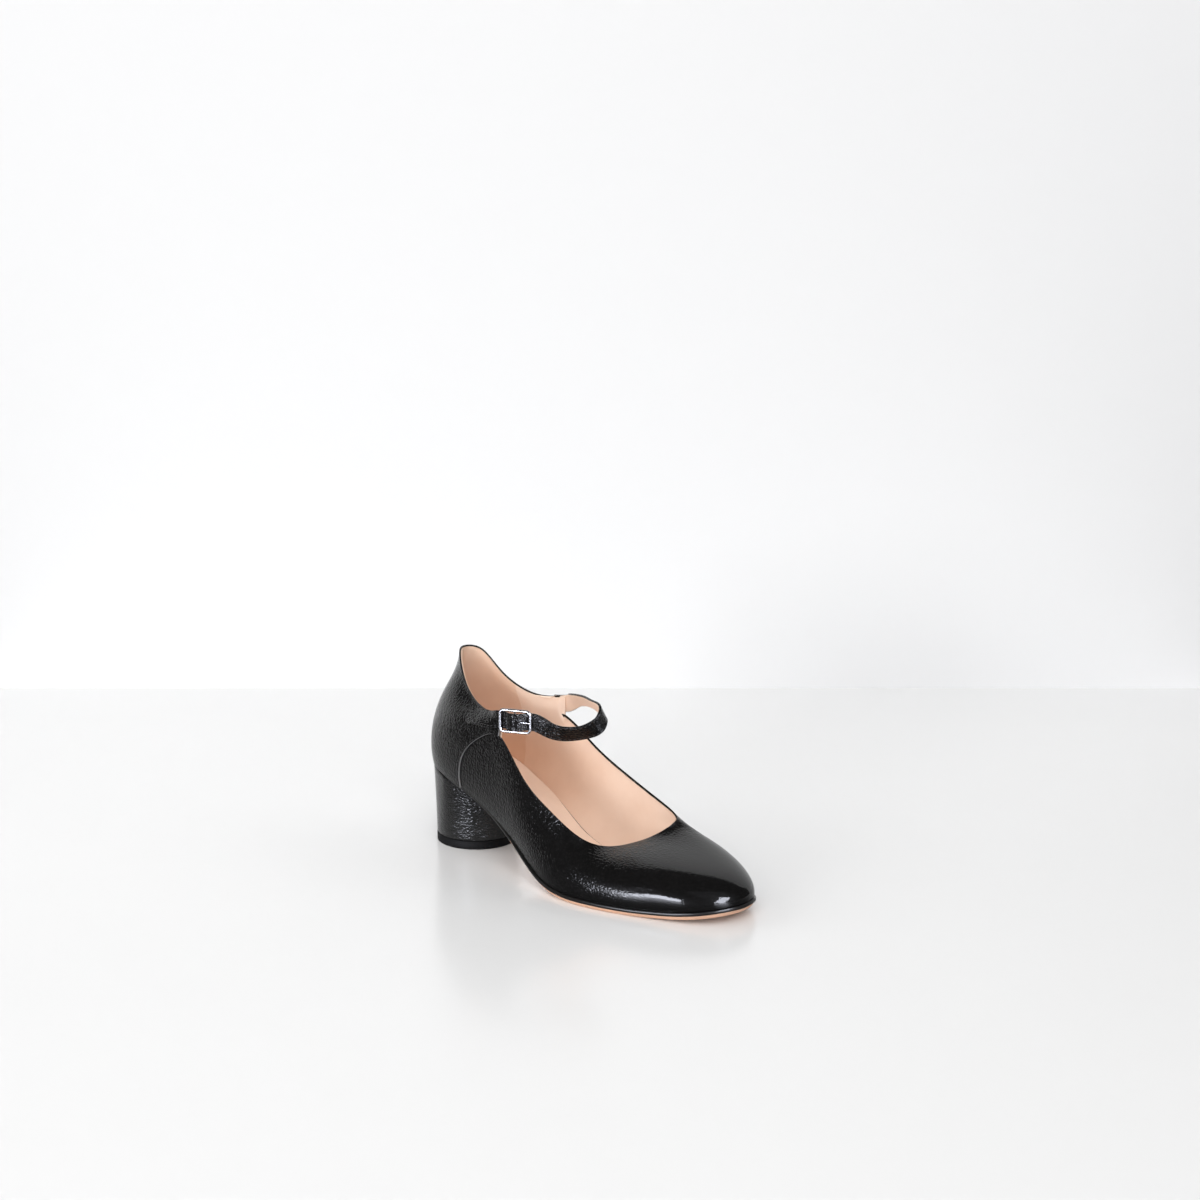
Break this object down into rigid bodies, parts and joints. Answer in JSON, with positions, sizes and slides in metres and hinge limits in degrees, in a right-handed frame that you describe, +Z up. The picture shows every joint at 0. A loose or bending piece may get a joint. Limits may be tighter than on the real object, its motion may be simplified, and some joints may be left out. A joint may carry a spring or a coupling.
{
  "type": "mary jane pump",
  "caption": "Right mary jane pump with a round block heel, a low-cut almond-toed vamp, high quarters and a buckled instep strap.",
  "frame": {"origin": "centre of the bounding box in plan, on the plane that the top piece and the forepart stand on", "axes": "+X to the toe, +Y to the medial side of the foot, +Z up"},
  "size_m": [0.2334, 0.0792, 0.1151],
  "materials": {
    "patent_leather": "black patent with a fine crinkle, high gloss",
    "lining_leather": "smooth nude, satin",
    "sole_leather": "nude, satin, with a black lacquered edge",
    "top_piece_rubber": "matt charcoal",
    "buckle_metal": "polished"
  },
  "bodies": {
    "root": {"upper": "patent_leather", "insole": "lining_leather", "outsole": "sole_leather", "heel": "patent_leather", "top_piece": "top_piece_rubber", "strap": "patent_leather", "buckle_tab": "patent_leather", "buckle_frame": "buckle_metal", "buckle_prong": "buckle_metal"}
  },
  "joints": []
}
